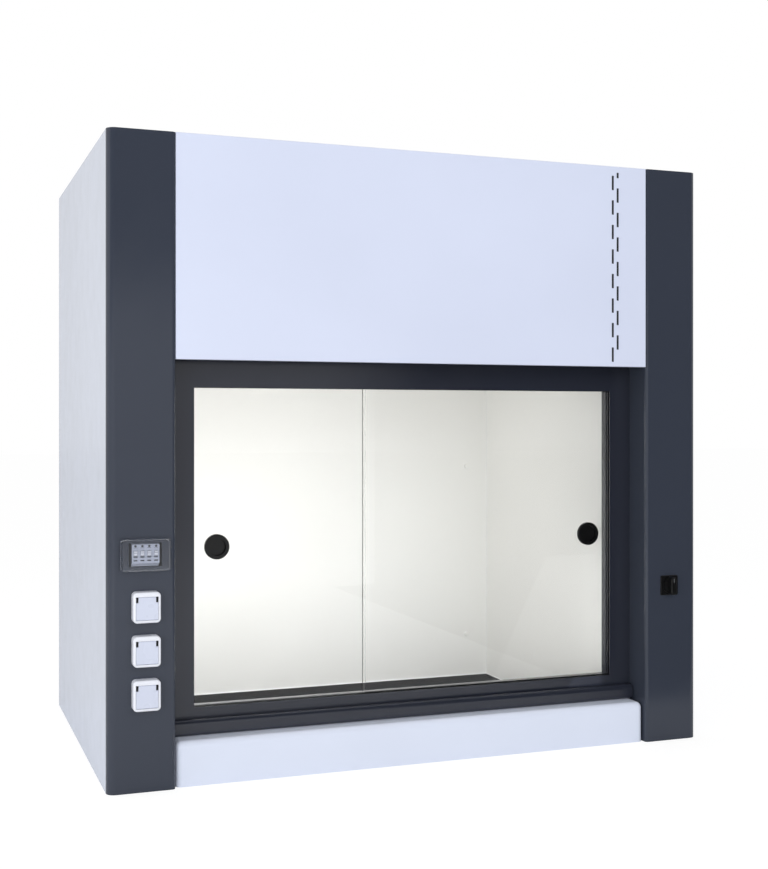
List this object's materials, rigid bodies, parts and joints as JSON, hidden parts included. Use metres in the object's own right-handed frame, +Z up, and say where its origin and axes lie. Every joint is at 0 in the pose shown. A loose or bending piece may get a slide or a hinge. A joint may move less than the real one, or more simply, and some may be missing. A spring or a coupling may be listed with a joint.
{
  "type": "benchtop fume hood",
  "caption": "Benchtop fume hood with a counterbalanced lifting sash, sliding glass panes, a roof exhaust collar, front sockets, a breaker box and a cam switch.",
  "frame": {"origin": "bottom centre of the box around the whole object, on the bench", "axes": "+X to the right seen from the front, +Y from the front to the back, +Z up, along the exhaust collar"},
  "size_m": [1.5, 1.01, 1.515],
  "materials": {
    "panel_paint": "light grey powder coat, semi-gloss",
    "pillar_paint": "dark blue-grey powder coat, satin",
    "liner_white": "white chemical-resistant liner, satin",
    "worktop_black": "black phenolic slab, satin",
    "galvanised": "zinc-plated sheet, matt",
    "steel": "turned steel, bright",
    "sash_dark": "dark powder-coated aluminium, satin",
    "glass": "clear toughened glass",
    "pull_black": "moulded black nylon",
    "acetal": "natural acetal",
    "belt_rubber": "black polyurethane-coated belt",
    "socket_white": "white moulded plastic",
    "socket_black": "black moulded plastic",
    "smoked": "smoked clear plastic",
    "breaker_grey": "pale grey moulded plastic",
    "toggle_dark": "dark moulded plastic",
    "switch_black": "black moulded plastic, semi-gloss",
    "lamp_glass": "opal lamp tube",
    "gland_black": "black nylon"
  },
  "bodies": {
    "root": {"base_pan": "galvanised", "worktop": "worktop_black", "left_upright": "galvanised", "right_upright": "galvanised", "left_side_panel": "panel_paint", "right_side_panel": "panel_paint", "rear_panel": "panel_paint", "roof_panel": "panel_paint", "exhaust_collar": "panel_paint", "left_pillar": "pillar_paint", "right_pillar": "pillar_paint", "fascia": "panel_paint", "sill": "panel_paint", "left_liner": "liner_white", "right_liner": "liner_white", "baffle": "liner_white", "baffle_standoffs": "acetal", "ceiling_liner": "liner_white", "front_header": "liner_white", "lamp_housing": "liner_white", "lamp_tubes": "lamp_glass", "lamp_diffuser": "glass", "cable_gland": "gland_black", "sash_guide_rails": "sash_dark", "sash_belts": "belt_rubber", "pulley_axles": "steel", "breaker_housing": "pillar_paint", "breaker_modules": "breaker_grey", "din_rail": "galvanised", "socket_housings": "socket_white", "socket_inserts": "socket_black", "socket_lid_pins": "steel", "switch_plate": "switch_black", "switch_body": "switch_black"},
    "sash": {"sash_top_rail": "sash_dark", "sash_bottom_rail": "sash_dark", "left_stile": "sash_dark", "right_stile": "sash_dark", "sash_grip": "sash_dark", "sash_glides": "acetal", "sash_belt_clamps": "steel"},
    "left_pane": {"left_glass": "glass", "left_pull": "pull_black"},
    "right_pane": {"right_glass": "glass", "right_pull": "pull_black"},
    "left_weight": {"left_counterweight": "steel"},
    "right_weight": {"right_counterweight": "steel"},
    "lower_left_sheave": {"left_lower_pulley": "acetal"},
    "lower_right_sheave": {"right_lower_pulley": "acetal"},
    "upper_left_sheave": {"left_upper_pulley": "acetal"},
    "upper_right_sheave": {"right_upper_pulley": "acetal"},
    "breaker_cover": {"breaker_door": "smoked"},
    "toggle_1": {"breaker_toggle_1": "toggle_dark"},
    "toggle_2": {"breaker_toggle_2": "toggle_dark"},
    "toggle_3": {"breaker_toggle_3": "toggle_dark"},
    "toggle_4": {"breaker_toggle_4": "toggle_dark"},
    "lid_1": {"socket_lid_1": "socket_white"},
    "lid_2": {"socket_lid_2": "socket_white"},
    "lid_3": {"socket_lid_3": "socket_white"},
    "cam_switch": {"switch_knob": "switch_black"}
  },
  "joints": [
    {"name": "sash_lift", "type": "slide", "parent": "root", "child": "sash", "axis": [0, 0, 1], "range_m": [0, 0.42]},
    {"name": "left_pane_slide", "type": "slide", "parent": "sash", "child": "left_pane", "axis": [1, 0, 0], "range_m": [0, 0.675]},
    {"name": "right_pane_slide", "type": "slide", "parent": "sash", "child": "right_pane", "axis": [-1, 0, 0], "range_m": [0, 0.413]},
    {"name": "left_weight_travel", "type": "slide", "parent": "root", "child": "left_weight", "axis": [0, 0, -1], "range_m": [0, 0.42]},
    {"name": "right_weight_travel", "type": "slide", "parent": "root", "child": "right_weight", "axis": [0, 0, -1], "range_m": [0, 0.42]},
    {"name": "lower_left_sheave_turn", "type": "hinge", "parent": "root", "child": "lower_left_sheave", "pos_m": [-0.611, -0.341, 0.06], "axis": [-1, 0, 0], "range_deg": [0, 970]},
    {"name": "lower_right_sheave_turn", "type": "hinge", "parent": "root", "child": "lower_right_sheave", "pos_m": [0.611, -0.341, 0.06], "axis": [-1, 0, 0], "range_deg": [0, 970]},
    {"name": "upper_left_sheave_turn", "type": "hinge", "parent": "root", "child": "upper_left_sheave", "pos_m": [-0.611, -0.341, 1.4], "axis": [-1, 0, 0], "range_deg": [0, 970]},
    {"name": "upper_right_sheave_turn", "type": "hinge", "parent": "root", "child": "upper_right_sheave", "pos_m": [0.611, -0.341, 1.4], "axis": [-1, 0, 0], "range_deg": [0, 970]},
    {"name": "breaker_cover_hinge", "type": "hinge", "parent": "root", "child": "breaker_cover", "pos_m": [-0.6675, -0.4843, 0.554], "axis": [-1, 0, 0], "range_deg": [0, 90]},
    {"name": "toggle_1_hinge", "type": "hinge", "parent": "root", "child": "toggle_1", "pos_m": [-0.69, -0.4805, 0.524], "axis": [1, 0, 0], "range_deg": [0, 70]},
    {"name": "toggle_2_hinge", "type": "hinge", "parent": "root", "child": "toggle_2", "pos_m": [-0.675, -0.4805, 0.524], "axis": [1, 0, 0], "range_deg": [0, 70]},
    {"name": "toggle_3_hinge", "type": "hinge", "parent": "root", "child": "toggle_3", "pos_m": [-0.66, -0.4805, 0.524], "axis": [1, 0, 0], "range_deg": [0, 70]},
    {"name": "toggle_4_hinge", "type": "hinge", "parent": "root", "child": "toggle_4", "pos_m": [-0.645, -0.4805, 0.524], "axis": [1, 0, 0], "range_deg": [0, 70]},
    {"name": "lid_1_hinge", "type": "hinge", "parent": "root", "child": "lid_1", "pos_m": [-0.6675, -0.50275, 0.42925], "axis": [-1, 0, 0], "range_deg": [0, 95]},
    {"name": "lid_2_hinge", "type": "hinge", "parent": "root", "child": "lid_2", "pos_m": [-0.6675, -0.50275, 0.33325], "axis": [-1, 0, 0], "range_deg": [0, 95]},
    {"name": "lid_3_hinge", "type": "hinge", "parent": "root", "child": "lid_3", "pos_m": [-0.6675, -0.50275, 0.23725], "axis": [-1, 0, 0], "range_deg": [0, 95]},
    {"name": "cam_switch_turn", "type": "hinge", "parent": "root", "child": "cam_switch", "pos_m": [0.6675, -0.487, 0.396], "axis": [0, 1, 0], "range_deg": [0, 90]}
  ],
  "couplings": [
    {"joint": "left_weight_travel", "follows": "sash_lift", "ratio": 1},
    {"joint": "right_weight_travel", "follows": "sash_lift", "ratio": 1},
    {"joint": "lower_left_sheave_turn", "follows": "sash_lift", "rad_per_m": 40},
    {"joint": "lower_right_sheave_turn", "follows": "sash_lift", "rad_per_m": 40},
    {"joint": "upper_left_sheave_turn", "follows": "sash_lift", "rad_per_m": 40},
    {"joint": "upper_right_sheave_turn", "follows": "sash_lift", "rad_per_m": 40}
  ]
}
